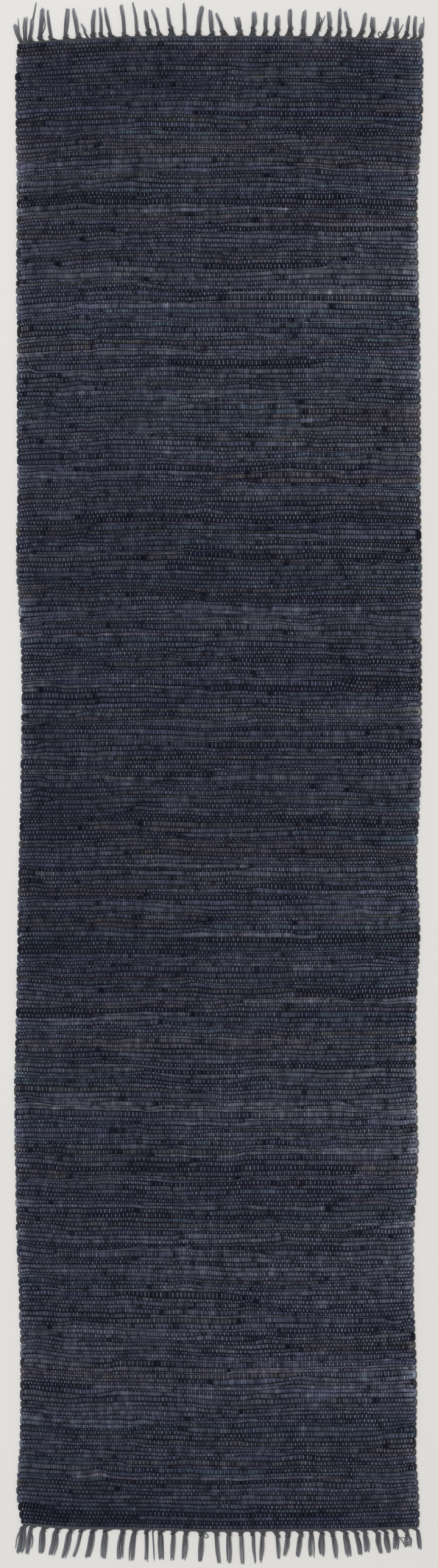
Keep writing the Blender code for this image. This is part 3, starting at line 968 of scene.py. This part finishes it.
        # The tone table paints shade near the rug and light towards the tips.
        tone = draw.lognormal(0, STRAND_SPREAD, (len(strands), 1)) * read_off(tone_table, share)
        yarns.spin(strands, radii, tone, STRAND_SIDES, STRAND_LANES)
        loops, away, radii = self.knot_loops()
        tone = draw.lognormal(KNOT_TONE, STRAND_SPREAD, (len(loops), 1)) * np.ones(LOOP_STEPS)
        yarns.spin(loops, radii, tone, LOOP_SIDES, LOOP_LANES, facing=away, closed=True)
        strays = self.strays()
        share = np.linspace(0.4, 1, STRAY_STEPS)  # they start near the knots
        radii = np.tile(read_off(STRAY_RADII, share), (len(strays), 1))
        tone = np.tile(read_off(tone_table, share), (len(strays), 1))
        yarns.spin(strays, radii, tone, STRAND_SIDES, STRAY_LANES)
        frays = self.frays(strands[:, -1], strands[:, -2])
        radii = np.tile(FRAY_RADII, (len(frays), 1))
        tone = np.full(radii.shape, tone_table[-1][1])
        yarns.spin(frays, radii, tone, FRAY_SIDES, FRAY_LANES)
        return yarns.piece(name, material)


# Materials.


def new_material(name, inputs):
    """A material whose shader has these inputs."""
    material = bpy.data.materials.new(name)
    material.use_nodes = True
    shader = material.node_tree.nodes["Principled BSDF"]
    for title, value in inputs.items():
        shader.inputs[title].default_value = value
    return material


class Cloth:
    """A matte cloth material, with short ways to add nodes to it."""

    NOISE_SPAN = (0.3, 0.7)  # hardly any of the noise lies outside this

    def __init__(self, name, roughness, sheen):
        inputs = {"Roughness": roughness, "Sheen Weight": sheen}
        self.material = new_material(name, inputs | {"Specular IOR Level": 0.08, "Sheen Roughness": 0.6})
        self.tree = self.material.node_tree
        self.shader = self.tree.nodes["Principled BSDF"]

    def add(self, kind, inputs, **settings):
        """The outputs of a new node, whose inputs are set or linked by name or number."""
        node = self.tree.nodes.new("ShaderNode" + kind)
        for name, value in settings.items():
            setattr(node, name, value)
        for name, value in inputs.items():
            if isinstance(value, bpy.types.NodeSocket):
                self.tree.links.new(value, node.inputs[name])
            else:
                node.inputs[name].default_value = value
        return node.outputs

    def attribute(self, name, output="Fac"):
        return self.add("Attribute", {}, attribute_name=name)[output]

    def maths(self, operation, first, second=0.0):
        return self.add("Math", {0: first, 1: second}, operation=operation)[0]

    def times(self, first, second):
        return self.maths("MULTIPLY", first, second)

    def plus(self, first, second):
        return self.maths("ADD", first, second)

    def off_middle(self, value):
        """How far the part of the value past the point is from a half."""
        return self.maths("ABSOLUTE", self.maths("SUBTRACT", self.maths("FRACT", value), 0.5))

    def in_range(self, value, low, high, to_low, to_high, kind="SMOOTHSTEP"):
        inputs = {"Value": value, "From Min": low, "From Max": high, "To Min": to_low, "To Max": to_high}
        return self.add("MapRange", inputs, interpolation_type=kind)["Result"]

    def noise(self, stretch, detail):
        """Noise with this many grains to the metre along each axis."""
        where = self.add("TexCoord", {})["Object"]
        place = self.add("VectorMath", {0: where, 1: stretch}, operation="MULTIPLY")["Vector"]
        inputs = {"Vector": place, "Scale": 1.0, "Detail": detail, "Roughness": 0.6}
        return self.add("TexNoise", inputs)["Fac"]

    def vary(self, noise, dark, light):
        """A tone that follows the noise."""
        return self.in_range(noise, *self.NOISE_SPAN, dark, light, kind="LINEAR")

    def mix(self, factor, first, second, **settings):
        inputs = {0: factor, 6: first, 7: second}
        return self.add("Mix", inputs, data_type="RGBA", **settings)[2]

    def finish(self, colour, height, distance, strength):
        """Gives the cloth its colour and its relief."""
        relief = self.add("Bump", {"Height": height, "Distance": distance, "Strength": strength})
        self.tree.links.new(colour, self.shader.inputs["Base Color"])
        self.tree.links.new(relief["Normal"], self.shader.inputs["Normal"])
        return self.material


def rag_cloth():
    """Crumpled cotton strips with fine folds along them, and painted shade between the rows."""
    cloth = Cloth("navy_rag_cloth", roughness=0.95, sheen=0.02)
    crown = cloth.attribute("crown")
    seam_shade = cloth.attribute("seam_shade")
    phase = cloth.attribute("warp_phase")
    folds = cloth.noise((110, 800, 800), 3.0)
    mottle = cloth.noise((900, 900, 900), 2.0)
    # Painted shade between two rows: the darker it is, the wider it is too.
    seam_reach = cloth.plus(cloth.times(seam_shade, 0.65), 0.28)
    near_seam = cloth.in_range(cloth.maths("ABSOLUTE", crown), 0.05, seam_reach, 1.0, 0.0)
    tone = cloth.maths("SUBTRACT", 1.0, cloth.times(near_seam, seam_shade))
    tone = cloth.times(tone, cloth.vary(folds, 0.65, 1.35))
    tone = cloth.times(tone, cloth.vary(mottle, 0.85, 1.15))
    # Painted shade: the strip is darker between every two warp ends, beside the floats.
    tone = cloth.times(tone, cloth.in_range(cloth.off_middle(phase), 0.02, 0.36, 0.6, 1.1))
    colour = cloth.mix(tone, (*DEEP_COLOUR, 1), cloth.attribute("rag_colour", "Color"), clamp_factor=False)
    # Underneath, the warp shows at every other crossing.
    on_warp = cloth.in_range(cloth.off_middle(cloth.times(phase, 0.5)), 0.1, 0.14, 1.0, 0.0)
    below = cloth.in_range(crown, -0.25, -0.1, 1.0, 0.0)
    warp = cloth.times(on_warp, below)
    colour = cloth.mix(warp, colour, (*(WARP_BELOW * WARP_COLOUR), 1))
    relief = cloth.plus(cloth.times(folds, 0.7), cloth.times(mottle, 0.3))
    return cloth.finish(colour, cloth.plus(relief, warp), distance=0.0006, strength=0.8)


def warp_yarn():
    """Plied cotton yarn: a slanted twist runs round it."""
    cloth = Cloth("grey_warp_yarn", roughness=0.92, sheen=0.03)
    twist_length = 2.4
    along = cloth.times(cloth.attribute("yarn_along"), 2 * math.pi / twist_length)
    around = cloth.times(cloth.attribute("yarn_around"), 2.2)
    twist = cloth.maths("SINE", cloth.plus(along, around))
    fibre = cloth.noise((1400, 1400, 1400), 2.0)
    tone = cloth.times(cloth.in_range(twist, -1, 1, 0.92, 1.07, kind="LINEAR"), cloth.vary(fibre, 0.8, 1.2))
    scaled = {0: cloth.attribute("yarn_colour", "Color"), "Scale": tone}
    colour = cloth.add("VectorMath", scaled, operation="SCALE")["Vector"]
    return cloth.finish(colour, cloth.plus(twist, fibre), distance=0.0002, strength=0.5)


# The stage.


def make_floor():
    mesh = bpy.data.meshes.new("floor")
    corners = [(x * FLOOR_HALF, y * FLOOR_HALF, 0) for x, y in ((-1, -1), (1, -1), (1, 1), (-1, 1))]
    mesh.from_pydata(corners, [], [(0, 1, 2, 3)])
    inputs = {"Base Color": (0.86, 0.846, 0.826, 1), "Roughness": 0.9, "Specular IOR Level": 0.1}
    mesh.materials.append(new_material("floor", inputs))
    floor = bpy.data.objects.new("floor", mesh)
    bpy.context.scene.collection.objects.link(floor)


def make_light():
    """Even light from all round, and a square softbox that faces the middle of the rug."""
    world = bpy.data.worlds.new("studio")
    world.use_nodes = True
    background = world.node_tree.nodes["Background"]
    background.inputs["Color"].default_value = (1.0, 0.995, 0.985, 1)
    background.inputs["Strength"].default_value = 0.45
    bpy.context.scene.world = world
    light = bpy.data.lights.new("key_softbox", "AREA")
    light.shape = "SQUARE"
    light.size = 6.5
    light.energy = 1140.0
    lamp = bpy.data.objects.new("key_softbox", light)
    lamp.location = KEY_PLACE
    lamp.rotation_mode = "QUATERNION"
    lamp.rotation_quaternion = (-Vector(KEY_PLACE)).to_track_quat("-Z", "Y")
    bpy.context.scene.collection.objects.link(lamp)


def make_camera():
    """Straight above the rug, with the photograph's whole height in view."""
    data = bpy.data.cameras.new("camera")
    data.lens = LENS
    data.sensor_width = SENSOR
    data.clip_end = VIEW_END
    camera = bpy.data.objects.new("camera", data)
    half_frame = IMAGE_HIGH * MM_PER_PIXEL / 2
    distance = half_frame / (SENSOR / 2 / LENS) + MID_HEIGHT
    camera.location = (FRAME_MIDDLE[0] * MM, FRAME_MIDDLE[1] * MM, distance * MM)
    bpy.context.scene.collection.objects.link(camera)
    bpy.context.scene.camera = camera


# The whole rug.


def build_rug():
    rag = rag_cloth()
    yarn = warp_yarn()
    weave = Weave(seed=7)
    made = []
    for end, name, tassels in ((1, "top", TOP_TASSELS), (-1, "bottom", BOTTOM_TASSELS)):
        fringe = Fringe(weave, end, tassels, seed=20 + end).build(f"tassels_{name}", yarn)
        wefts = heading(weave, end, f"heading_{name}", rag)
        for piece, slot in ((fringe, "grey_warp"), (wefts, "navy_rag")):
            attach(piece, "root")
            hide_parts(f"fringe_{name}")
        made.append([fringe, wefts])
    for band in range(BANDS):
        wefts = weft_band(weave, band, rag)
        floats = warp_band(weave, band, yarn)
        for piece, slot in ((wefts, "navy_rag"), (floats, "grey_warp")):
            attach(piece, "root")
            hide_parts("woven_field")
        with_pieces = [floats]
        if band == 0:
            with_pieces += made[0]
        if band == BANDS - 1:
            with_pieces += made[1]


bpy.context.scene.view_settings.view_transform = "Standard"
make_camera()
make_floor()
make_light()
build_rug()
